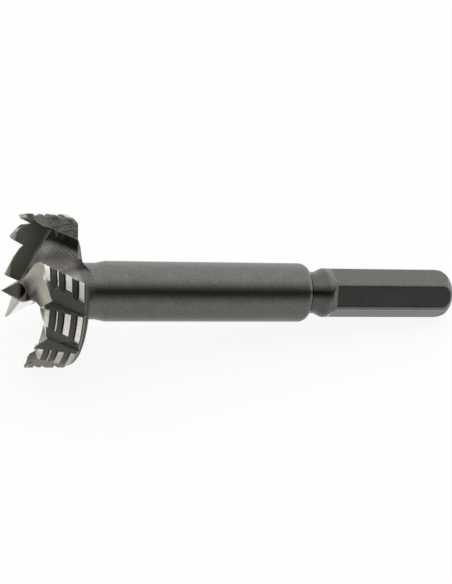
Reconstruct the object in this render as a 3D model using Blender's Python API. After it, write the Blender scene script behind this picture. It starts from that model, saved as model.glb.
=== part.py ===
"""Forstner bit with a toothed, ribbed rim, lying on a bench.

The bit is modelled along its own axis first: X runs from the plane of the tooth tips towards the shank,
and an angle round the axis starts at -Y and turns towards +Z, which is the way the bit cuts. It is then
laid down on the face of its convex hull that it would come to rest on. Metres, +Z up.
"""

from math import asin, cos, pi, radians, sin, sqrt, tan

import bmesh
import bpy
from mathutils import Matrix, Vector

MM = 0.001

# Turned body, from the tooth tips (0) towards the shank
HEAD_RADIUS = 20.0 * MM
HEAD_DEPTH = 13.4 * MM
BACK_CORNER = 1.6 * MM
BACK_CONE_RISE = 1.5 * MM
BACK_CONE_RADIUS = 11.8 * MM
HUB_FACE_RISE = 0.15 * MM
HUB_RADIUS = 7.45 * MM
HUB_FILLET = 1.9 * MM
HUB_END = 19.6 * MM
SHANK_RADIUS = 8.0 * MM
SHANK_START = 22.4 * MM
SHANK_END = 79.5 * MM
SHANK_ROUND = 2.4 * MM
NECK_RADIUS = 5.7 * MM
NECK_END = 81.9 * MM
DRIVE_RADIUS = 6.7 * MM
DRIVE_START = 84.1 * MM
LENGTH_BEHIND_TIPS = 122.5 * MM
DRIVE_END_ROUND = 4.0 * MM
HEX_SIDES = 6
HEX_ACROSS_FLATS = 12.0 * MM
HEX_FLAT_ANGLE = radians(-9.5)
HEX_START = 85.0 * MM
HEX_RUNOUT = 1.6 * MM
HEX_MARGIN = 0.05 * MM

# Ribs round the rim: where each crest starts and its width, as shares of the head's depth,
# and how far it lies below the full radius
RIB_STARTS = (0.0, 0.335, 0.492, 0.748)
RIB_WIDTHS = (0.191, 0.022, 0.119, 0.100)
RIB_SHORTFALLS = (0.0, 0.08 * MM, 0.0, 0.0)
GROOVE_DEPTH = 0.5 * MM
GROOVE_SHOULDER = 0.3 * MM

# Inside of the rim: a steep bevel down from the tooth tips, then a wall that thickens with depth
BEVEL_TAPER = 2.0
WALL_INSET = 0.75 * MM
WALL_TAPER = 0.33

# Teeth of one half of the rim
TEETH = 4
FIRST_TOOTH_ANGLE = radians(21.6)
TOOTH_PITCH = radians(34.0)
TOOTH_LEAD = 0.5 * MM
LAND_ANGLE = radians(19.5)
LAND_DEPTH = 6.0 * MM
LAND_START_SKEW = 0.234
LAND_END_SKEW = 0.50
FACE_SLOPE = 0.37
NOTCH_LEAN = radians(47.0)
RELIEF_TILT = radians(27.0)
BACK_SLOPE = 0.42
BACK_INWARD_RISE = 0.11

# Lips and the floor behind them
LIP_LEAD = 0.5 * MM
LIP_REACH = 0.87 * HEAD_RADIUS
LIP_ANGLE = radians(17.1)
LIP_OFFSET = 1.7 * MM
FLOOR_SLOPE = 0.45
FLOOR_STEP = 0.1 * MM

# Chip channels ahead of the lips, section by section: depth as a share of the head's depth, the middle
# of the round inner end along the lip and its radius, as shares of the head's radius, and how much the
# outer side opens, in degrees
RAKE_SLOPE = 0.479
CHANNEL_SECTIONS = (
    (-0.700, -0.050, 0.050, 15.3), (0.090, -0.050, 0.050, 15.3), (0.149, -0.105, 0.130, 15.3),
    (0.231, -0.105, 0.225, 15.3), (0.299, -0.105, 0.260, 15.3), (0.373, -0.100, 0.265, 14.3),
    (0.448, -0.065, 0.273, 12.5), (0.552, 0.020, 0.280, 9.5), (0.642, 0.095, 0.290, 6.0),
    (0.739, 0.165, 0.298, 3.0), (0.836, 0.225, 0.300, 0.0), (0.933, 0.270, 0.300, -2.5),
    (1.030, 0.315, 0.300, -5.0), (1.119, 0.370, 0.305, -7.0), (1.187, 0.435, 0.310, -8.0),
    (1.246, 0.540, 0.315, -8.0), (1.299, 0.660, 0.320, -8.0), (1.418, 0.925, 0.320, -8.0),
)
CHANNEL_REACH = 1.1 * HEAD_RADIUS

# Shoulder: a flat ground across the back corner of the rim beside each chip mouth
SHOULDER_SLOPE = 0.27
SHOULDER_SIDE = 6.15 * MM
SHOULDER_AHEAD = 4.5 * MM
SHOULDER_ALONG = 6.4 * MM

# Core that the chip channels leave round the axis
CORE_FRONT_RADIUS = 2.2 * MM
CORE_BACK_RADIUS = 7.4 * MM
CORE_BACK = 17.4 * MM

# Centre point: a round pin ground to a four-sided pyramid, like a pencil
POINT_LENGTH = 4.8 * MM
POINT_TAPER = 0.529
POINT_CORNER_ANGLE = radians(44.0)
PIN_RADIUS = 3.08 * MM
PIN_BACK = 0.6 * MM
PIN_FOOT_RADIUS = 2.2 * MM
PIN_FOOT = 3.6 * MM

# Lying at rest, the direction round the axis that faces the bench: the middle of one chip mouth
DOWN_ANGLE = radians(232.0)

SEGMENTS = 96
ARC_STEPS = 5
CHANNEL_STEPS = 15
SIDE_STEPS = 6
CORE_SEGMENTS = 50
CORE_TURN = radians(1.3)
CLEAR = 12.0 * MM
REACH = 0.9 * HEAD_RADIUS
LAST_REACH = 1.1 * HEAD_RADIUS
GULLET_REACH = 0.55 * HEAD_RADIUS
RELIEF_REACH = 0.72 * HEAD_RADIUS
SMOOTH_ANGLE = radians(25.0)

STEEL_COLOUR = (0.30, 0.30, 0.29, 1.0)
STEEL_ROUGHNESS = 0.35


def polar(x, radius, angle):
    """A point of the bit's own frame from its depth, its radius and its angle round the axis."""
    return Vector((x, -radius * cos(angle), radius * sin(angle)))


def clear_scene():
    for obj in list(bpy.data.objects):
        bpy.data.objects.remove(obj, do_unlink=True)


def add_object(name, bm):
    bmesh.ops.recalc_face_normals(bm, faces=bm.faces)
    mesh = bpy.data.meshes.new(name)
    bm.to_mesh(mesh)
    bm.free()
    mesh.shade_smooth()
    mesh.set_sharp_from_angle(angle=SMOOTH_ANGLE)
    obj = bpy.data.objects.new(name, mesh)
    bpy.context.scene.collection.objects.link(obj)
    return obj


def add_cutter(name, bm):
    cutter = add_object(name, bm)
    cutter.hide_render = True
    cutter.display_type = "WIRE"
    return cutter


def half_turn(bm):
    """The same shape turned by half a turn about the bit's axis, for the opposite half of the head."""
    other = bm.copy()
    bmesh.ops.rotate(other, verts=other.verts, cent=(0, 0, 0), matrix=Matrix.Rotation(pi, 3, "X"))
    return other


def arc(centre_x, centre_r, radius, start, end):
    """Points of a profile arc; 0 looks along +X and a quarter turn away from the axis."""
    return [
        (centre_x + radius * cos(start + (end - start) * i / ARC_STEPS),
         centre_r + radius * sin(start + (end - start) * i / ARC_STEPS))
        for i in range(ARC_STEPS + 1)
    ]


def rib_profile():
    """Crests and grooves of the rim, as (depth, radius)."""
    points = []
    groove = HEAD_RADIUS - GROOVE_DEPTH
    for start_share, width_share, shortfall in zip(RIB_STARTS, RIB_WIDTHS, RIB_SHORTFALLS):
        crest = HEAD_RADIUS - shortfall
        start = start_share * HEAD_DEPTH
        end = start + width_share * HEAD_DEPTH
        if start > 0:
            points += [(start - GROOVE_SHOULDER, groove), (start, crest)]
        points += [(end, crest), (end + GROOVE_SHOULDER, groove)]
    return points


def body_profile():
    """Outline of the turned body, as (depth, radius), from the middle of the front to the drive's end."""
    groove = HEAD_RADIUS - GROOVE_DEPTH
    cone_back = HEAD_DEPTH + BACK_CONE_RISE
    hub_face = cone_back + HUB_FACE_RISE
    drive_round = LENGTH_BEHIND_TIPS - DRIVE_END_ROUND
    points = [(-LIP_LEAD, 0.0), (-LIP_LEAD, LIP_REACH), (0.0, HEAD_RADIUS)]
    points += rib_profile()
    points += arc(HEAD_DEPTH - BACK_CORNER, groove - BACK_CORNER, BACK_CORNER, pi / 2, 0)
    points += [(cone_back, BACK_CONE_RADIUS)]
    points += arc(hub_face + HUB_FILLET, HUB_RADIUS + HUB_FILLET, HUB_FILLET, pi, 3 * pi / 2)
    points += [(HUB_END, HUB_RADIUS), (SHANK_START, SHANK_RADIUS)]
    points += arc(SHANK_END - SHANK_ROUND, SHANK_RADIUS - SHANK_ROUND, SHANK_ROUND, pi / 2, 0)
    points += [(SHANK_END, NECK_RADIUS), (NECK_END, NECK_RADIUS), (DRIVE_START, DRIVE_RADIUS)]
    points += arc(drive_round, DRIVE_RADIUS - DRIVE_END_ROUND, DRIVE_END_ROUND, pi / 2, 0)
    points += [(LENGTH_BEHIND_TIPS, 0.0)]
    return points


def turn(profile, segments, start=0.0):
    """Closed solid from a profile that starts and ends on the axis; start turns the first corner."""
    bm = bmesh.new()
    rings = []
    angles = [start + 2 * pi * i / segments for i in range(segments)]
    for x, radius in profile:
        if radius == 0.0:
            rings.append([bm.verts.new((x, 0, 0))])
        else:
            rings.append([bm.verts.new(polar(x, radius, angle)) for angle in angles])
    for ring, following in zip(rings, rings[1:]):
        for i in range(segments):
            j = (i + 1) % segments
            corners = [ring[i % len(ring)], ring[j % len(ring)]]
            corners += [following[j % len(following)], following[i % len(following)]]
            bm.faces.new(list(dict.fromkeys(corners)))
    return bm


def loft(sections):
    """Closed solid through rings of points that match one to one, made of triangles."""
    bm = bmesh.new()
    rings = [[bm.verts.new(point) for point in section] for section in sections]
    for ring, following in zip(rings, rings[1:]):
        for i in range(len(ring)):
            j = (i + 1) % len(ring)
            bm.faces.new((ring[i], ring[j], following[j], following[i]))
    bm.faces.new(rings[0])
    bm.faces.new(rings[-1])
    bmesh.ops.triangulate(bm, faces=bm.faces)
    return bm


def lip_point(x, along, ahead):
    """A point from its depth, its distance along the lip's direction and its distance ahead of the axis."""
    y = -(along * cos(LIP_ANGLE) - ahead * sin(LIP_ANGLE))
    z = along * sin(LIP_ANGLE) + ahead * cos(LIP_ANGLE)
    return Vector((x, y, z))


def floor_depth(ahead):
    """Depth of the ground floor behind a lip: it falls away evenly from the cutting edge."""
    return -LIP_LEAD + FLOOR_SLOPE * (LIP_OFFSET - ahead)


def wall_radius(x):
    """Inside radius of the rim at a depth: the bevel near the tips, the thickening wall behind it."""
    return max(HEAD_RADIUS - BEVEL_TAPER * x, HEAD_RADIUS - WALL_INSET - WALL_TAPER * x)


def floor_radius(angle):
    """Inside radius of the rim where the sloping floor meets it, in a direction from the lip."""
    radii = []
    for tips_radius, taper in ((HEAD_RADIUS, BEVEL_TAPER), (HEAD_RADIUS - WALL_INSET, WALL_TAPER)):
        at_axis = tips_radius - taper * floor_depth(0.0)
        radii.append(at_axis / (1 - taper * FLOOR_SLOPE * sin(angle)))
    return max(radii)


def half_outline(radius_of):
    """Half a disc in front of one half's floor, with a step on each side of the axis for the lips."""
    start = pi + asin(LIP_OFFSET / radius_of(pi))
    end = 2 * pi + asin(LIP_OFFSET / radius_of(0.0))
    steps = SEGMENTS // 2
    outline = [(0.0, LIP_OFFSET), (0.0, -LIP_OFFSET)]
    for i in range(steps + 1):
        angle = start + (end - start) * i / steps
        radius = radius_of(angle)
        outline.append((radius * cos(angle), radius * sin(angle)))
    return outline


def floor_cutter():
    """Everything in front of the floor of one half, inside the rim."""
    bevel_depth = WALL_INSET / (BEVEL_TAPER - WALL_TAPER)
    bevel = []
    for along, ahead in half_outline(floor_radius):
        x = min(bevel_depth, floor_depth(ahead) - FLOOR_STEP)
        stretch = wall_radius(x) / wall_radius(floor_depth(ahead))
        at_axis = along == 0.0
        bevel.append(lip_point(x, along * stretch, ahead if at_axis else ahead * stretch))
    front = half_outline(lambda angle: wall_radius(-CLEAR))
    floor = half_outline(floor_radius)
    return loft([
        [lip_point(-CLEAR, along, ahead) for along, ahead in front],
        bevel,
        [lip_point(floor_depth(ahead), along, ahead) for along, ahead in floor],
    ])


def channel_section(x, centre, radius, flare):
    """Cross-section of the chip channel: flat rake side, round inner end, outer side at the flare."""
    rake = LIP_OFFSET - RAKE_SLOPE * (x + LIP_LEAD)
    start = -pi / 2
    end = flare - 3 * pi / 2
    outline = [(CHANNEL_REACH, rake)]
    for i in range(CHANNEL_STEPS + 1):
        angle = start + (end - start) * i / CHANNEL_STEPS
        outline.append((centre + radius * cos(angle), rake + radius + radius * sin(angle)))
    last_along, last_ahead = outline[-1]
    for i in range(1, SIDE_STEPS + 1):
        further = (CHANNEL_REACH - last_along) * i / SIDE_STEPS
        outline.append((last_along + further, last_ahead + further * tan(flare)))
    return [lip_point(x, along, ahead) for along, ahead in outline]


def channel_cutter():
    return loft([
        channel_section(depth * HEAD_DEPTH, centre * HEAD_RADIUS, radius * HEAD_RADIUS, radians(flare))
        for depth, centre, radius, flare in CHANNEL_SECTIONS
    ])


def core():
    """What the chip channels leave round the axis: it widens from the web behind the point to the hub."""
    front = -LIP_LEAD - MM
    back = CORE_BACK + CLEAR
    profile = [(front, 0.0), (front, CORE_FRONT_RADIUS), (LIP_OFFSET, CORE_FRONT_RADIUS)]
    profile += [(CORE_BACK, CORE_BACK_RADIUS), (back, CORE_BACK_RADIUS), (back, 0.0)]
    return turn(profile, CORE_SEGMENTS, CORE_TURN)


def clipped_box(origin, axes, lower, upper, planes):
    """A box in a tooth's own axes, cut down to the side of each plane that its normal leaves behind it."""
    bm = bmesh.new()
    bmesh.ops.create_cube(bm, size=1.0)
    size = [b - a for a, b in zip(lower, upper)]
    middle = [(a + b) / 2 for a, b in zip(lower, upper)]
    for vert in bm.verts:
        local = [m + s * c for m, s, c in zip(middle, size, vert.co)]
        vert.co = origin + axes[0] * local[0] + axes[1] * local[1] + axes[2] * local[2]
    for point, normal in planes:
        geometry = bm.verts[:] + bm.edges[:] + bm.faces[:]
        cut = bmesh.ops.bisect_plane(bm, geom=geometry, plane_co=point, plane_no=normal, clear_outer=True)
        edges = [item for item in cut["geom_cut"] if isinstance(item, bmesh.types.BMEdge)]
        bmesh.ops.contextual_create(bm, geom=edges)
    bmesh.ops.triangulate(bm, faces=bm.faces)
    return bm


def shoulder_cutter():
    """The flat beside one chip mouth: what lies behind a plane that leans forward towards the lip's end."""
    origin = lip_point(0.0, 0.0, 0.0)
    axes = (Vector((1.0, 0.0, 0.0)), lip_point(0.0, 0.0, 1.0), lip_point(0.0, 1.0, 0.0))
    point = Vector((HEAD_DEPTH, -SHOULDER_SIDE, 0.0))
    normal = Vector((-1.0, SHOULDER_SLOPE, 0.0)).normalized()
    lower = (0.0, SHOULDER_AHEAD, SHOULDER_ALONG)
    upper = (HEAD_DEPTH + BACK_CONE_RISE + HUB_FILLET, HEAD_RADIUS + CLEAR, HEAD_RADIUS + CLEAR)
    return clipped_box(origin, axes, lower, upper, [(point, normal)])


def tooth_frame(angle):
    """Tip of a tooth and its axes: into the depth, ahead in the cutting direction and outwards."""
    tip = polar(0.0, HEAD_RADIUS, angle)
    ahead = Vector((0.0, sin(angle), cos(angle)))
    outwards = Vector((0.0, -cos(angle), sin(angle)))
    return tip, (Vector((1.0, 0.0, 0.0)), ahead, outwards)


def in_frame(axes, x, ahead, outwards):
    return (axes[0] * x + axes[1] * ahead + axes[2] * outwards).normalized()


def face_plane(index):
    """Leading face of a tooth inside the gullet: radial, and it goes ahead with depth."""
    tip, axes = tooth_frame(FIRST_TOOTH_ANGLE - index * TOOTH_PITCH)
    return tip, in_frame(axes, -FACE_SLOPE, 1.0, 0.0)


def notch_plane(index):
    """End of the relief at a tooth's tip: it leans back outside the rim and with depth."""
    tip, axes = tooth_frame(FIRST_TOOTH_ANGLE - index * TOOTH_PITCH)
    return tip, in_frame(axes, LAND_START_SKEW * cos(NOTCH_LEAN), cos(NOTCH_LEAN), sin(NOTCH_LEAN))


def back_plane(index):
    """Ground back of a tooth, which falls away behind its tip."""
    tip, axes = tooth_frame(FIRST_TOOTH_ANGLE - index * TOOTH_PITCH)
    return tip, in_frame(axes, -1.0, -BACK_SLOPE, BACK_INWARD_RISE)


def relief_plane(index):
    """Flat ground off the rim behind a tooth's land, through the land's end at LAND_DEPTH."""
    tip, axes = tooth_frame(FIRST_TOOTH_ANGLE - index * TOOTH_PITCH - LAND_ANGLE)
    end = tip + axes[0] * LAND_DEPTH
    return end, in_frame(axes, -LAND_END_SKEW * sin(RELIEF_TILT), -sin(RELIEF_TILT), cos(RELIEF_TILT))


def turned_round(plane):
    point, normal = plane
    return point, -normal


def tooth_cutters(index):
    """The gullet in front of the tooth's back and the relief outside the rim, up to the next tooth."""
    tip, axes = tooth_frame(FIRST_TOOTH_ANGLE - index * TOOTH_PITCH)
    reach = REACH
    gullet_planes = [turned_round(back_plane(index))]
    relief_planes = [turned_round(relief_plane(index))]
    if index == TEETH - 1:
        reach = LAST_REACH
    else:
        gullet_planes.append(turned_round(face_plane(index + 1)))
        relief_planes.append(turned_round(notch_plane(index + 1)))
    gullet = clipped_box(
        tip, axes, (-CLEAR, -reach, -GULLET_REACH), (CLEAR, TOOTH_LEAD, CLEAR), gullet_planes,
    )
    relief = clipped_box(
        tip, axes, (-CLEAR, -reach, -RELIEF_REACH), (HEAD_DEPTH + CLEAR, TOOTH_LEAD, CLEAR), relief_planes,
    )
    return gullet, relief


def hex_envelope():
    """Funnel with HEX_SIDES sides: its narrow end holds the drive's flats and it clears the rest."""
    sections = []
    widest = LENGTH_BEHIND_TIPS / 2
    for x, apothem in (
        (-CLEAR, widest),
        (HEX_START, DRIVE_RADIUS + HEX_MARGIN),
        (HEX_START + HEX_RUNOUT, HEX_ACROSS_FLATS / 2),
        (LENGTH_BEHIND_TIPS + CLEAR, HEX_ACROSS_FLATS / 2),
    ):
        corner = apothem / cos(pi / HEX_SIDES)
        angles = [HEX_FLAT_ANGLE + (2 * i + 1) * pi / HEX_SIDES for i in range(HEX_SIDES)]
        sections.append([polar(x, corner, angle) for angle in angles])
    return loft(sections)


def centre_pin():
    """Round pin at the middle of the lips, which narrows into the core."""
    front = -LIP_LEAD - POINT_LENGTH
    profile = [(front, 0.0), (front, PIN_RADIUS), (PIN_BACK, PIN_RADIUS), (PIN_FOOT, PIN_FOOT_RADIUS)]
    return turn(profile + [(PIN_FOOT, 0.0)], SEGMENTS // 2)


def point_envelope():
    """Four-sided pyramid that the pin is ground to."""
    apex = -LIP_LEAD - POINT_LENGTH
    corner = sqrt(2) * POINT_TAPER * (CLEAR - apex)
    return turn([(apex, 0.0), (CLEAR, corner), (CLEAR, 0.0)], 4, POINT_CORNER_ANGLE)


def boolean(obj, cutter, operation="DIFFERENCE"):
    modifier = obj.modifiers.new(cutter.name, "BOOLEAN")
    modifier.operation = operation
    modifier.solver = "EXACT"
    modifier.object = cutter


def finished_mesh(obj):
    depsgraph = bpy.context.evaluated_depsgraph_get()
    bm = bmesh.new()
    bm.from_mesh(obj.evaluated_get(depsgraph).to_mesh())
    bmesh.ops.triangulate(bm, faces=bm.faces)
    return bm


def centre_of_mass(bm):
    """Centroid of a closed solid, from the signed tetrahedra between its triangles and the origin."""
    total = 0.0
    moment = Vector((0.0, 0.0, 0.0))
    for face in bm.faces:
        a, b, c = (vert.co for vert in face.verts)
        volume = a.dot(b.cross(c)) / 6
        total += volume
        moment += (a + b + c) / 4 * volume
    return moment / total


def supports(face, centre):
    """Whether the solid's weight acts inside this face of its hull."""
    foot = centre - face.normal * (centre - face.verts[0].co).dot(face.normal)
    corners = [vert.co for vert in face.verts]
    following = corners[1:] + corners[:1]
    return all((b - a).cross(foot - a).dot(face.normal) >= 0 for a, b in zip(corners, following))


def resting_matrix(body):
    """Turns the bit onto the hull face it rests on and centres its footprint on the origin."""
    solid = finished_mesh(body)
    centre = centre_of_mass(solid)
    hull = solid.copy()
    made = bmesh.ops.convex_hull(hull, input=hull.verts)
    inner = {item for key in ("geom_interior", "geom_unused") for item in made[key]}
    inner_verts = [item for item in inner if isinstance(item, bmesh.types.BMVert)]
    bmesh.ops.delete(hull, geom=inner_verts, context="VERTS")
    hull.normal_update()
    wanted = polar(0.0, 1.0, DOWN_ANGLE)
    resting = [face for face in hull.faces if face.calc_area() > 0 and supports(face, centre)]
    down = max(resting, key=lambda face: face.normal.dot(wanted)).normal.copy()
    up = -down
    along = (Vector((1.0, 0.0, 0.0)) - up * up.x).normalized()
    across = up.cross(along)
    turned = Matrix((along, across, up)).to_4x4()
    places = [turned @ vert.co for vert in solid.verts]
    low = [min(place[i] for place in places) for i in range(3)]
    high = [max(place[i] for place in places) for i in range(3)]
    shift = Vector(((low[0] + high[0]) / 2, (low[1] + high[1]) / 2, low[2]))
    solid.free()
    hull.free()
    return Matrix.Translation(-shift) @ turned


def add_material(obj):
    material = bpy.data.materials.new("tool_steel")
    material.use_nodes = True
    shader = material.node_tree.nodes["Principled BSDF"]
    shader.inputs["Base Color"].default_value = STEEL_COLOUR
    shader.inputs["Metallic"].default_value = 1.0
    shader.inputs["Roughness"].default_value = STEEL_ROUGHNESS
    obj.data.materials.append(material)


def build():
    clear_scene()
    body = add_object("forstner_bit", turn(body_profile(), SEGMENTS))
    add_material(body)
    boolean(body, add_cutter("hex_envelope", hex_envelope()), "INTERSECT")
    boolean(body, add_cutter("floor_near", floor_cutter()))
    boolean(body, add_cutter("floor_far", half_turn(floor_cutter())))
    channels = add_cutter("channel_near", channel_cutter())
    boolean(channels, add_cutter("channel_far", half_turn(channel_cutter())), "UNION")
    boolean(channels, add_cutter("core", core()))
    boolean(body, channels)
    boolean(body, add_cutter("shoulder_near", shoulder_cutter()))
    boolean(body, add_cutter("shoulder_far", half_turn(shoulder_cutter())))
    for index in range(TEETH):
        for kind, shape in zip(("gullet", "relief"), tooth_cutters(index)):
            boolean(body, add_cutter(f"{kind}_near_{index}", shape.copy()))
            boolean(body, add_cutter(f"{kind}_far_{index}", half_turn(shape)))
    pin = add_cutter("centre_pin", centre_pin())
    boolean(pin, add_cutter("point_envelope", point_envelope()), "INTERSECT")
    boolean(body, pin, "UNION")
    laid_down = bpy.data.objects.new("laid_down", None)
    bpy.context.scene.collection.objects.link(laid_down)
    laid_down.matrix_world = resting_matrix(body)
    for obj in bpy.context.scene.objects:
        if obj != laid_down:
            obj.parent = laid_down
    return body


build()
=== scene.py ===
# %% [markdown]
# A forstner bit lies on a white bench. It is one piece of tool steel: a ribbed, toothed head with two
# lips, a turned shank and a six-sided drive end. The shape comes from the packed CAD model, which is
# fixed. This lesson adds the finishes of the steel, the light and the camera.

# %% Load the packed model
from math import cos, pi, radians, sin

import bpy
import numpy as np
from mathutils import Matrix, Vector


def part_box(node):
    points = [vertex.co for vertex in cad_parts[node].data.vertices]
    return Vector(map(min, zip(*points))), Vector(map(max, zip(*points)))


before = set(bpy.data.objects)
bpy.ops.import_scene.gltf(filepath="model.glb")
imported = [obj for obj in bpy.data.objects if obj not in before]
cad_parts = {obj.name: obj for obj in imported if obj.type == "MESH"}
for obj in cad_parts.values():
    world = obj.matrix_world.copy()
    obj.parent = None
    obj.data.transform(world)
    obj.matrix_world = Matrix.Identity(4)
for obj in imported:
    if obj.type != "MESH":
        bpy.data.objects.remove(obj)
scene = bpy.context.scene
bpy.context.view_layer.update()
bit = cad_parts["forstner_bit"]
MM = 0.001

# %% [markdown]
# The bit is turned and ground about its own axis, so that axis is the natural frame for its finishes.
# It lies tilted on its head and its drive end, so the frame has to be found. It could be typed in, but
# it is safer to measure it on the model. The normals of the shank's faces all lie square to the axis,
# so the direction in which they have the least share is the axis. A fit of the planes of those faces
# then gives a point on it. The shank is the stretch between two shares of the bit's whole length.

# %% Find the axis on the shank
centres = np.array([face.center for face in bit.data.polygons])
normals = np.array([face.normal for face in bit.data.polygons])
areas = np.array([face.area for face in bit.data.polygons])
low, high = (np.array(corner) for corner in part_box("forstner_bit"))
share = (centres[:, 0] - low[0]) / (high[0] - low[0])
SHANK_SHARES = (0.3, 0.6)
on_shank = (share > SHANK_SHARES[0]) & (share < SHANK_SHARES[1])
spread = (normals[on_shank] * areas[on_shank, None]).T @ normals[on_shank]
axis = np.linalg.eigh(spread)[1][:, 0]
axis = axis * np.sign(axis[0])
planes = np.column_stack([normals[on_shank], np.ones(on_shank.sum())])
offsets = (normals[on_shank] * centres[on_shank]).sum(axis=1)
on_axis = np.linalg.lstsq(planes, offsets, rcond=None)[0][:3]
print("axis", axis.round(4), "through", on_axis.round(4))

# %% [markdown]
# The roll about the axis comes from the six flats of the drive end. The flat that faces the front is
# found, and the frame's own front lies a few degrees from it. The frame starts at the plane of the
# tooth tips, which lies a known length in front of the drive's end. The first direction of the frame
# runs along the bit, the second away from the lens and the third upwards.

# %% Find the roll and the origin, and set up the bit's own frame
LENGTH_BEHIND_TIPS = 122.5 * MM
FRONT_FLAT_ANGLE = radians(9.5)
DRIVE_SHARE = 0.75
SQUARE_TO_AXIS = 0.01
FLAT_AREA = 10 * MM * MM
FRONT = np.array((0.0, -0.75, 0.65))
on_flats = (share > DRIVE_SHARE) & (np.abs(normals @ axis) < SQUARE_TO_AXIS) & (areas > FLAT_AREA)
flat = normals[on_flats][np.argmax(normals[on_flats] @ FRONT)]
side = np.cross(flat, axis)
front = flat * cos(FRONT_FLAT_ANGLE) + side * sin(FRONT_FLAT_ANGLE)
corners = np.array([vert.co for vert in bit.data.vertices])
tips = (corners @ axis).max() - LENGTH_BEHIND_TIPS
origin = on_axis + axis * (tips - on_axis @ axis)
bit_axes = np.column_stack([axis, -front, np.cross(front, axis)])
BIT_FRAME = Matrix.Translation(origin) @ Matrix(bit_axes).to_4x4()
print("frame", [[round(value, 4) for value in row] for row in BIT_FRAME])

# %% [markdown]
# The crests of the ribs are what reaches furthest from the axis. Many finishes start or end a little
# inside that reach, so it is measured once, in millimetres.

# %% Measure the head's radius
reaches = np.linalg.norm(np.cross(corners - on_axis, axis), axis=1)
HEAD_RADIUS = float(reaches.max() / MM)
print("head radius", round(HEAD_RADIUS, 3), "mm")


# %% [markdown]
# Colours are written as sRGB hex values, as a maker would read them off a swatch, and shaders want
# linear values, so one function turns the first into the second.

# %% Colours
def linear(hex_colour):
    """An sRGB hex colour as the linear values that shaders take."""
    parts = [int(hex_colour[i:i + 2], 16) / 255 for i in (1, 3, 5)]
    return [p / 12.92 if p <= 0.04045 else ((p + 0.055) / 1.055) ** 2.4 for p in parts] + [1.0]


print("middle grey in linear values:", round(linear("#808080")[0], 3))

# %% [markdown]
# A shader is a tree of nodes. One function adds a node: it sets the node's settings, then fills its
# inputs in order, with a link where the value comes from another node, or else with the value itself.

# %% Nodes
def add_node(tree, kind, *inputs, **settings):
    """Adds a node with its settings, fills its inputs in order and returns its first output."""
    node = tree.nodes.new(kind)
    for name, value in settings.items():
        setattr(node, name, value)
    for socket, value in zip([s for s in node.inputs if s.enabled], inputs):
        if isinstance(value, bpy.types.NodeSocket):
            tree.links.new(value, socket)
        elif value is not None:
            socket.default_value = value
    return next(s for s in node.outputs if s.enabled)


print("helper for nodes:", add_node.__doc__)

# %% [markdown]
# The whole bit is one steel, but it was finished in steps: turned and burnished dark all over, then
# milled in the channels, then ground bright on the crests, the lips and the tips. Each step reached
# only the surfaces that a wheel or a cutter could touch, so the finish depends on where a surface lies
# and which way it faces. Each finish could be a material of its own, on faces picked one by one, but
# the finishes run into each other softly. The shader therefore starts from two measures in the bit's
# own frame: the place in millimetres, and the direction that the surface faces.
# Some layers below also carry painted shade, a painted reflection and painted highlights.

# %% Place and direction in the bit's own frame
steel = bpy.data.materials.new("burnished_tool_steel")
steel.use_nodes = True
nodes = steel.node_tree
shader = nodes.nodes["Principled BSDF"]
bit_turn = BIT_FRAME.to_euler()
coordinates = add_node(nodes, "ShaderNodeTexCoord").node.outputs
place = add_node(
    nodes, "ShaderNodeMapping", coordinates["Object"], BIT_FRAME.translation, bit_turn, (MM, MM, MM),
    vector_type="TEXTURE",
)
facing = add_node(
    nodes, "ShaderNodeMapping", coordinates["Normal"], (0, 0, 0), bit_turn, vector_type="TEXTURE",
)
along, _, upwards = add_node(nodes, "ShaderNodeSeparateXYZ", place).node.outputs
faces_along, _, faces_up = add_node(nodes, "ShaderNodeSeparateXYZ", facing).node.outputs
height = add_node(nodes, "ShaderNodeMath", upwards, operation="ABSOLUTE")
print("nodes for the place and the direction:", len(nodes.nodes))

# %% [markdown]
# Two more measures belong to a turned thing: how far a point lies from the axis, and how squarely its
# surface faces away from the axis. Both come from the spoke, which runs from the axis to the point.

# %% Radius and facing outwards
spoke = add_node(nodes, "ShaderNodeVectorMath", place, (0, 1, 1), operation="MULTIPLY")
radius = add_node(nodes, "ShaderNodeVectorMath", spoke, operation="LENGTH").node.outputs["Value"]
spoke_direction = add_node(nodes, "ShaderNodeVectorMath", spoke, operation="NORMALIZE")
faces_outwards = add_node(
    nodes, "ShaderNodeVectorMath", facing, spoke_direction, operation="DOT_PRODUCT",
).node.outputs["Value"]
print("nodes with the radius:", len(nodes.nodes))


# %% [markdown]
# Each finish is a layer: a colour and a roughness, laid where a zone says. A zone is a product of soft
# steps on the measures above, such as far from the axis and facing outwards. Each step names its
# measure, the value at which the zone is out and the value at which it is in.

# %% Zones and layers
def zone(*limits):
    """How far a point lies in a zone: a product of soft steps, each 0 at one value and 1 at another."""
    inside = None
    for measure, out_at, in_at in limits:
        step = add_node(
            nodes, "ShaderNodeMapRange", measure, out_at, in_at, interpolation_type="SMOOTHSTEP",
        )
        inside = step if inside is None else add_node(
            nodes, "ShaderNodeMath", inside, step, operation="MULTIPLY",
        )
    return inside


def lay(under, where, colour, roughness):
    """Lays a colour and a roughness over the finish under them, where a zone says."""
    return {
        "colour": add_node(nodes, "ShaderNodeMix", where, under["colour"], colour, data_type="RGBA"),
        "roughness": add_node(nodes, "ShaderNodeMix", where, under["roughness"], roughness),
    }


print("helpers for layers:", zone.__doc__, lay.__doc__)

# %% [markdown]
# The bit was turned from tool steel and burnished dark, which gives a neutral grey satin that is a
# little blotchy. One flat grey would look like paint, so a noise mixes two greys in blotches about 3 mm
# across. A finishing cut leaves rings about 0.1 mm apart, too fine to show here, so they are drawn
# coarser, about 0.6 mm apart. They make the satin smoother and rougher in turns, and that frays the
# reflections on the shank. The head is rougher all over. All sizes here are in millimetres.

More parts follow.
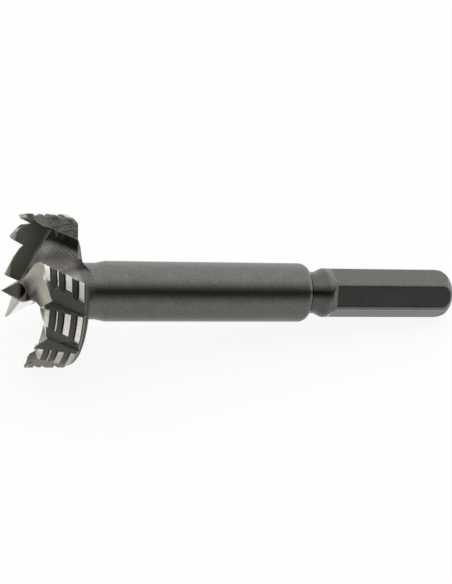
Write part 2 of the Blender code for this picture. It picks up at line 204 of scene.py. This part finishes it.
# %% Burnished tool steel
BLOTCH_SIZE = 2.857
RING_PITCH = 0.625
RING_REACH = 10.0
burnish = add_node(nodes, "ShaderNodeTexNoise", place, 1 / BLOTCH_SIZE, 4.0, 0.6)
steel_colour = add_node(
    nodes, "ShaderNodeMix", burnish, linear("#595956"), linear("#6b6b68"), data_type="RGBA",
)
ring_scale = (1 / RING_PITCH, 1 / RING_REACH, 1 / RING_REACH)
ring_place = add_node(nodes, "ShaderNodeVectorMath", place, ring_scale, operation="MULTIPLY")
rings = add_node(nodes, "ShaderNodeTexNoise", ring_place, 1.0, 6.0, 0.75)
steel_roughness = add_node(nodes, "ShaderNodeMapRange", rings, 0.35, 0.65, 0.06, 0.22)
finish = {"colour": steel_colour, "roughness": steel_roughness}
on_head = zone((along, 16.5, 15.5))
finish = lay(finish, on_head, linear("#5b5a55"), 0.42)
print("nodes with the burnish:", len(nodes.nodes))

# %% [markdown]
# The chip channels were milled. A cutter that crosses its own path leaves two sets of fine lines, which
# read as a hatch. The real lines are finer, and here they are drawn 0.5 mm apart so that they show. A
# single wave in diagonal bands would look like wood, so each set has its own wave, and a dot product
# gives it the run along its direction. Blender's wave repeats every pi / 10 at scale 1, so the scale is
# that period over the pitch.

# %% Hatch of the milling cutter
HATCH_PITCH = 0.5
WAVE_PERIOD = pi / 10
HATCH_DIRECTIONS = ((0.57, 0.0, 0.82), (0.70, 0.0, -0.71))
hatch = None
for hatch_direction in HATCH_DIRECTIONS:
    run = add_node(nodes, "ShaderNodeVectorMath", place, hatch_direction, operation="DOT_PRODUCT")
    lines = add_node(
        nodes, "ShaderNodeTexWave", run.node.outputs["Value"], WAVE_PERIOD / HATCH_PITCH, 0.4, 2.0, 1.0,
        wave_type="BANDS", bands_direction="X",
    )
    hatch = lines if hatch is None else add_node(
        nodes, "ShaderNodeMath", hatch, lines, operation="MULTIPLY",
    )
print("sets of lines in the hatch:", len(HATCH_DIRECTIONS))

# %% [markdown]
# The channel is light grey on its ramp and darker where it runs out on the hub. At its upper end,
# where it meets the rim, it is painted nearly black, as painted shade under the rim's overhang. The hub
# behind it is the same steel as the shank, only rougher. All of this could be painted on an image, but
# steps on the measured place stay sharp at any distance and need no picture.

# %% Milled channels and turned hub
on_channel = zone(
    (radius, HEAD_RADIUS - 1.1, HEAD_RADIUS - 1.5), (radius, 4.6, 5.2),
    (along, 1.0, 1.5), (along, 18.5, 17.5),
    (faces_along, -0.78, -0.70), (faces_along, 0.30, 0.20),
)
on_ramp = zone((along, 15.5, 13.0))
# Painted shade: the channel's upper end is painted nearly black under the rim's overhang.
painted_shade_under_rim = zone((radius, 11.0, 14.4), (upwards, 0.0, 2.0))
channel_colour = add_node(
    nodes, "ShaderNodeMix", on_ramp, linear("#807e7b"), linear("#cccac6"), data_type="RGBA",
)
channel_colour = add_node(
    nodes, "ShaderNodeMix", hatch, channel_colour, linear("#656462"), data_type="RGBA",
)
channel_colour = add_node(
    nodes, "ShaderNodeMix", painted_shade_under_rim, channel_colour, linear("#1d1d1a"), data_type="RGBA",
)
finish = lay(finish, on_channel, channel_colour, 0.62)
on_hub = zone((along, 15.8, 16.3), (faces_outwards, 0.90, 0.95))
finish = lay(finish, on_hub, steel_colour, 0.30)
print("nodes with the channels:", len(nodes.nodes))

# %% [markdown]
# Nothing ground the walls inside the rim, the floors of its grooves, the relief behind the teeth or the
# notches between them. They keep the dull skin of the burnish, which gives a soft dark grey. On the
# notches shade is painted: one that faces up is painted dark, as if the teeth round it shaded it, and
# one that faces level or down is painted paler. The notches are flat and face a little backwards, so
# two steps on that direction find them.

# %% Dull walls of the rim
AHEAD_OF_BACK = (along, 13.0, 12.0)
on_inner_wall = zone((faces_outwards, -0.6, -0.8), (radius, 14.5, 15.5), (along, 12.0, 11.0))
on_rim = zone(
    (radius, HEAD_RADIUS - 1.05, HEAD_RADIUS - 0.95), (faces_outwards, 0.3, 0.5), (along, 16.0, 15.5),
)
on_relief = zone((radius, 15.0, 16.0), (faces_outwards, 0.5, 0.6), AHEAD_OF_BACK)
on_notch = zone((faces_along, 0.10, 0.14), (faces_along, 0.22, 0.18), (radius, 15.0, 16.0), AHEAD_OF_BACK)
# Painted shade: a notch that faces up is painted dark, one that faces level or down paler.
notch_painted_shade = add_node(
    nodes, "ShaderNodeMix", zone((faces_up, 0.2, 0.4)), linear("#8a887f"), linear("#3b3a36"),
    data_type="RGBA",
)
finish = lay(finish, on_inner_wall, linear("#5a5b52"), 0.45)
finish = lay(finish, on_rim, linear("#504f4a"), 0.45)
finish = lay(finish, on_relief, linear("#56554f"), 0.50)
finish = lay(finish, on_notch, notch_painted_shade, 0.50)
print("nodes with the dull walls:", len(nodes.nodes))

# %% [markdown]
# The neck was turned in a second cut and is a little darker than the shank. The drive's flats that face
# up are painted darker, as painted shade on the top of the drive. The steel could carry a second
# material here, but two more layers are enough.

# %% Neck and drive end
on_neck = zone((along, 79.3, 79.7), (along, 84.6, 84.0))
# Painted shade: the drive's flats that face up are painted darker.
upper_flats_painted_shade = zone((along, 85.0, 86.0), (faces_up, 0.5, 0.7))
finish = lay(finish, on_neck, linear("#555452"), 0.26)
finish = lay(finish, upper_flats_painted_shade, linear("#595957"), 0.22)
print("nodes with the drive end:", len(nodes.nodes))

# %% [markdown]
# A wheel ground the backs of the teeth, the faces that run back from each cutting edge, and they have
# dulled since. The tips and the bevels inside them wear first, down to bright steel, nearly white. The
# tips of the highest and the lowest teeth are left out and stay dark.

# %% Backs, tips and bevels of the teeth
WORN_BRIGHT = linear("#fffaf2")
on_back = zone((faces_along, -0.78, -0.86), (along, 9.0, 8.0))
on_tip = zone((along, 2.2, 1.2), (radius, 16.8, 17.6), (height, 17.0, 15.5), (faces_along, -0.80, -0.86))
on_bevel = zone(
    (faces_along, -0.87, -0.885), (faces_outwards, -0.40, -0.43),
    (radius, HEAD_RADIUS - 1.4, HEAD_RADIUS - 1.2),
)
finish = lay(finish, on_back, linear("#3f3d3a"), 0.40)
finish = lay(finish, on_tip, WORN_BRIGHT, 0.65)
finish = lay(finish, on_bevel, WORN_BRIGHT, 0.70)
print("nodes with the tips:", len(nodes.nodes))

# %% [markdown]
# The floor behind each lip is ground flat. It is a warm grey. Round the foot of the centre point it is
# painted nearly black, as a painted dark reflection of the point. It is white at its lower corner and
# darker at its upper one. The three parts run into each other, so each is a soft step that changes the
# colour before it.

# %% Colour of the ground floors
# Painted reflection: the floor is painted nearly black round the foot of the centre point.
painted_reflection_round_foot = zone((radius, 14.0, 7.5))
lower_corner = zone((upwards, -4.5, -6.0), (radius, 16.0, 17.0))
upper_corner = zone((upwards, 2.5, 6.0), (radius, 10.0, 13.0))
floor_colour = linear("#a19e93")
for part_of_floor, colour in (
    (painted_reflection_round_foot, "#11110f"), (lower_corner, "#fffaf4"), (upper_corner, "#6f6e66"),
):
    floor_colour = add_node(
        nodes, "ShaderNodeMix", part_of_floor, floor_colour, linear(colour), data_type="RGBA",
    )
print("nodes with the colour of the floors:", len(nodes.nodes))

# %% [markdown]
# The floors and the rakes in front of the lips are flat, so each is found by the one direction that it
# faces. Those directions follow from the angle of the lips and from the two slopes, as they do on the
# grinder. The far half of the head is the near half turned by half a turn.

# %% Ground floors and rakes
LIP_ANGLE = radians(17.1)
FLOOR_SLOPE = 0.45
RAKE_SLOPE = 0.479
for half_turn in (1, -1):
    across_lip = Vector((0.0, half_turn * sin(LIP_ANGLE), half_turn * cos(LIP_ANGLE)))
    floor_direction = (Vector((-1.0, 0.0, 0.0)) - FLOOR_SLOPE * across_lip).normalized()
    rake_direction = (Vector((RAKE_SLOPE, 0.0, 0.0)) + across_lip).normalized()
    for plane_direction, ends_at, colour, roughness in (
        (floor_direction, (along, 9.0, 8.0), floor_colour, 0.38),
        (rake_direction, (along, 8.0, 7.0), WORN_BRIGHT, 0.35),
    ):
        match = add_node(nodes, "ShaderNodeVectorMath", facing, plane_direction, operation="DOT_PRODUCT")
        on_plane = zone((match.node.outputs["Value"], 0.990, 0.997), ends_at)
        finish = lay(finish, on_plane, colour, roughness)
    print("ground floor faces", [round(value, 3) for value in floor_direction])

# %% [markdown]
# The last grinding was round the outside. It touched only the crests of the ribs, and left them bright
# between dark grooves. The crests could be picked out face by face, but they alone reach the head's
# radius, so one step on the radius finds them. On the last teeth, far above and below the axis, the
# crests are painted duller, as painted shade where they face up or down.

# %% Crests of the ribs
on_crest = zone(
    (radius, HEAD_RADIUS - 0.20, HEAD_RADIUS - 0.14), (faces_outwards, 0.90, 0.96), (along, 12.5, 12.0),
)
# Painted shade: the crests of the last teeth, far above and below the axis, are painted duller.
last_teeth_painted_shade = zone((height, 14.2, 16.6))
crest_colour = add_node(
    nodes, "ShaderNodeMix", last_teeth_painted_shade, linear("#fffaf4"), linear("#c3bfb4"), data_type="RGBA",
)
finish = lay(finish, on_crest, crest_colour, 0.60)
print("nodes with the crests:", len(nodes.nodes))

# %% [markdown]
# The centre point is lighter at its tip and nearly black at its base. Whatever else lies in the
# foremost millimetre is one lighter grey: the rim of the point's foot, the edges of the lips and the
# very tips of the teeth. Point and rest differ only in their distance from the axis.

# %% Centre point and foremost edges
FOREMOST = (along, 1.6, 1.0)
on_point = zone((radius, 3.6, 3.3), FOREMOST)
on_foremost_edges = zone((radius, 2.98, 3.04), FOREMOST)
point_colour = add_node(
    nodes, "ShaderNodeMix", zone((along, -1.6, -0.4)), linear("#7b7974"), linear("#141311"),
    data_type="RGBA",
)
finish = lay(finish, on_point, point_colour, 0.42)
finish = lay(finish, on_foremost_edges, linear("#9a978c"), 0.35)
print("nodes with the centre point:", len(nodes.nodes))

# %% [markdown]
# The flat of the rim beside each chip mouth was ground roughly. It has coarse ripples along the bit,
# some 2.5 mm long and 0.6 mm wide, with painted shade that darkens their troughs. A wave would make
# them all alike, so they are a noise that is stretched along the bit.

# %% Ripples beside the chip mouths
RIPPLE_LENGTH = 2.5
RIPPLE_WIDTH = 0.5556
on_mouth_flat = zone(
    (radius, HEAD_RADIUS - 0.25, HEAD_RADIUS - 0.35), (radius, 14.0, 15.0),
    (faces_outwards, 0.5, 0.7), (faces_along, -0.19, -0.21), (height, 12.6, 13.2), (along, 5.0, 6.0),
)
ripple_scale = (1 / RIPPLE_LENGTH, 1 / RIPPLE_WIDTH, 1 / RIPPLE_WIDTH)
ripple_place = add_node(nodes, "ShaderNodeVectorMath", place, ripple_scale, operation="MULTIPLY")
ripples = add_node(nodes, "ShaderNodeTexNoise", ripple_place, 1.0, 2.0, 0.5)
ripple_tops = add_node(nodes, "ShaderNodeMapRange", ripples, 0.40, 0.60)
# Painted shade: the ripples are painted darker in their troughs.
ripple_tone_and_painted_shade = add_node(
    nodes, "ShaderNodeMix", ripple_tops, linear("#2e2d2a"), linear("#4d4c47"), data_type="RGBA",
)
finish = lay(finish, on_mouth_flat, ripple_tone_and_painted_shade, 0.45)
print("nodes with the ripples:", len(nodes.nodes))

# %% [markdown]
# Each step left marks that catch the light: rings on the shank, grit on the head, the hatch in the
# channels and the ripples beside the mouths. They are far too fine to model, so they are a bump: each
# texture is worth its depth in millimetres, and counts only in its zone. The grit is drawn coarser than
# the real grains, about 0.4 mm wide, so that it shows.

# %% Depth of the marks
GRIT_SIZE = 0.3846
grit = add_node(nodes, "ShaderNodeTexNoise", place, 1 / GRIT_SIZE, 4.0, 0.7)
marks = (
    (rings, zone((along, 17.0, 19.0)), 0.025),
    (grit, on_head, 0.020),
    (hatch, on_channel, 0.030),
    (ripples, on_mouth_flat, 0.30),
)
relief = None
for texture, where, depth in marks:
    cut = add_node(nodes, "ShaderNodeMath", texture, depth, operation="MULTIPLY")
    cut = add_node(nodes, "ShaderNodeMath", cut, where, operation="MULTIPLY")
    relief = cut if relief is None else add_node(nodes, "ShaderNodeMath", relief, cut, operation="ADD")
bump = add_node(nodes, "ShaderNodeBump")
bump.node.inputs["Distance"].default_value = MM
nodes.links.new(relief, bump.node.inputs["Height"])
nodes.links.new(bump, shader.inputs["Normal"])
print("kinds of marks:", len(marks))

# %% [markdown]
# Handling and wear brighten the sharp edges, and a painted highlight is laid on them as well, where their
# small chamfers would catch the light. They could be painted one by one, but they can be found: a
# rounded copy of the surface's direction differs from the true one only near an edge. Open corners are
# kept and inner ones aren't. Edges that face the drive end get none of it and stay dark.

# %% Worn and highlit edges
EDGE_WEAR_AND_HIGHLIGHT_WIDTH = 0.14 * MM
OPEN_REACH = 0.6 * MM
rounded = add_node(nodes, "ShaderNodeBevel", EDGE_WEAR_AND_HIGHLIGHT_WIDTH, samples=6)
true_facing = add_node(nodes, "ShaderNodeNewGeometry").node.outputs["Normal"]
agreement = add_node(nodes, "ShaderNodeVectorMath", rounded, true_facing, operation="DOT_PRODUCT")
openness = add_node(nodes, "ShaderNodeAmbientOcclusion", None, OPEN_REACH, samples=6)
# Wear and painted highlight: sharp open edges are painted a lighter grey.
edge_wear_and_highlight = zone(
    (agreement.node.outputs["Value"], 0.995, 0.90), (openness.node.outputs["AO"], 0.80, 0.95),
    (faces_along, 0.40, 0.30),
)
finish = lay(finish, edge_wear_and_highlight, linear("#908d84"), 0.35)
print("nodes with the worn edges:", len(nodes.nodes))

# %% [markdown]
# The same grit also makes the steel lighter and darker by up to a fifth, grain by grain. With that the
# steel is done. Steel is a metal all over, so that is set on the shader itself.

# %% Put the steel on the bit
grain = add_node(nodes, "ShaderNodeMapRange", grit, 0.35, 0.65, 0.80, 1.20)
grained = add_node(nodes, "ShaderNodeVectorMath", finish["colour"], operation="SCALE")
nodes.links.new(grain, grained.node.inputs["Scale"])
nodes.links.new(grained, shader.inputs["Base Color"])
nodes.links.new(finish["roughness"], shader.inputs["Roughness"])
shader.inputs["Metallic"].default_value = 1.0
for material_slot in bit.material_slots:
    material_slot.material = steel
print("material slots:", len(bit.material_slots), "nodes in all:", len(nodes.nodes))

# %% [markdown]
# The bench is a plain sheet of white paper, much larger than the bit, so that its edge isn't seen from
# above. A studio would curve it up behind the tool, but the lens looks down on it, so one flat square
# is enough. It belongs to the stage, not to the bit.

# %% Bench
BENCH_REACH = 3.0
bench_mesh = bpy.data.meshes.new("bench_top")
bench_corners = [(x * BENCH_REACH, y * BENCH_REACH, 0) for x, y in ((-1, -1), (1, -1), (1, 1), (-1, 1))]
bench_mesh.from_pydata(bench_corners, [], [range(len(bench_corners))])
bench_top = bpy.data.objects.new("bench_top", bench_mesh)
scene.collection.objects.link(bench_top)
print("bench:", 2 * BENCH_REACH, "m wide")

# %% [markdown]
# Matt paper is a rough white with no gloss. Its own white keeps the bit's shadow. Most of what the
# camera, and the steel's reflections, see of it is plain white of strength 1, so that the paper reads
# as white without more light on the bit. The rest is the paper itself, and so the shadow still shows.

# %% White paper
WHITE_SHARE = 0.9
paper = bpy.data.materials.new("white_paper")
paper.use_nodes = True
paper_nodes = paper.node_tree
sheet = paper_nodes.nodes["Principled BSDF"]
sheet.inputs["Base Color"].default_value = linear("#f5f5f5")
sheet.inputs["Roughness"].default_value = 0.9
sheet.inputs["Specular IOR Level"].default_value = 0.0
rays = add_node(paper_nodes, "ShaderNodeLightPath").node.outputs
seen = rays["Is Camera Ray"]
for kind_of_ray in ("Is Glossy Ray", "Is Transmission Ray"):
    seen = add_node(paper_nodes, "ShaderNodeMath", seen, rays[kind_of_ray], operation="MAXIMUM")
seen = add_node(paper_nodes, "ShaderNodeMath", seen, WHITE_SHARE, operation="MULTIPLY")
glow = add_node(paper_nodes, "ShaderNodeEmission", linear("#ffffff"), 1.0)
mixed = add_node(paper_nodes, "ShaderNodeMixShader", seen, sheet.outputs[0], glow)
paper_nodes.links.new(mixed, paper_nodes.nodes["Material Output"].inputs["Surface"])
bench_mesh.materials.append(paper)
print("white share of the paper:", WHITE_SHARE)

# %% [markdown]
# Bright tools are photographed between two long soft boxes, one above and one below the lens. The gap
# between them shows on the shank as the dark line along its middle. Lamps could stand for the boxes,
# but the gap is easier to shape in the world: the angle of a direction about the bit's axis gives its
# light. The light below the lens rises softly, and the light above it rises evenly to full.

# %% Room
GAP = radians(6.0)
LOWER_FULL = radians(38.0)
UPPER_FULL = radians(45.0)
LOWER_LIGHT = 0.72
UPPER_LIGHT = 1.48
room = bpy.data.worlds.new("studio_room")
scene.world = room
room.use_nodes = True
room_nodes = room.node_tree
direction = add_node(room_nodes, "ShaderNodeTexCoord").node.outputs["Generated"]
turned = add_node(
    room_nodes, "ShaderNodeMapping", direction, (0, 0, 0), bit_turn, vector_type="TEXTURE",
)
_, room_across, room_up = add_node(room_nodes, "ShaderNodeSeparateXYZ", turned).node.outputs
towards_lens = add_node(room_nodes, "ShaderNodeMath", room_across, -1.0, operation="MULTIPLY")
angle = add_node(room_nodes, "ShaderNodeMath", room_up, towards_lens, operation="ARCTAN2")
below = add_node(
    room_nodes, "ShaderNodeMapRange", angle, -GAP, -LOWER_FULL, 0.0, LOWER_LIGHT,
    interpolation_type="SMOOTHSTEP",
)
above = add_node(room_nodes, "ShaderNodeMapRange", angle, GAP, UPPER_FULL, 0.0, UPPER_LIGHT)
light = add_node(room_nodes, "ShaderNodeMath", below, above, operation="ADD")
background = room_nodes.nodes["Background"]
background.inputs["Color"].default_value = linear("#ffffff")
room_nodes.links.new(light, background.inputs["Strength"])
scene.view_settings.view_transform = "Standard"
print("light below and above the lens:", LOWER_LIGHT, UPPER_LIGHT)

# %% [markdown]
# The lens looks at the bit from its side and a little from the front, level with its axis, so that the
# front faces of the teeth and the side of the shank both show. It rolls a little, because the bit lies
# a little off level in the picture. A long lens from half a metre keeps the shank's sides parallel.

# %% Camera
DISTANCE = 500 * MM
VIEW_ANGLE = radians(20.0)
ROLL = radians(0.4)
AIM_ALONG = 56.4 * MM
LENS = 114.5
bit_rotation = BIT_FRAME.to_3x3()
towards = bit_rotation @ Vector((-sin(VIEW_ANGLE), -cos(VIEW_ANGLE), 0.0))
right = (bit_rotation @ Vector((0.0, 0.0, 1.0))).cross(towards).normalized()
level = Matrix((right, towards.cross(right), towards)).transposed()
camera_turn = (level @ Matrix.Rotation(ROLL, 3, "Z")).to_4x4()
aim = BIT_FRAME @ Vector((AIM_ALONG, 0.0, 0.0))
camera_data = bpy.data.cameras.new("camera")
camera_data.lens = LENS
camera = bpy.data.objects.new("camera", camera_data)
camera.matrix_world = Matrix.Translation(aim + towards * DISTANCE) @ camera_turn
scene.collection.objects.link(camera)
scene.camera = camera
print("camera at", [round(value, 3) for value in camera.matrix_world.translation])

# %% [markdown] The dressed bit must fill the same box as the packed one.
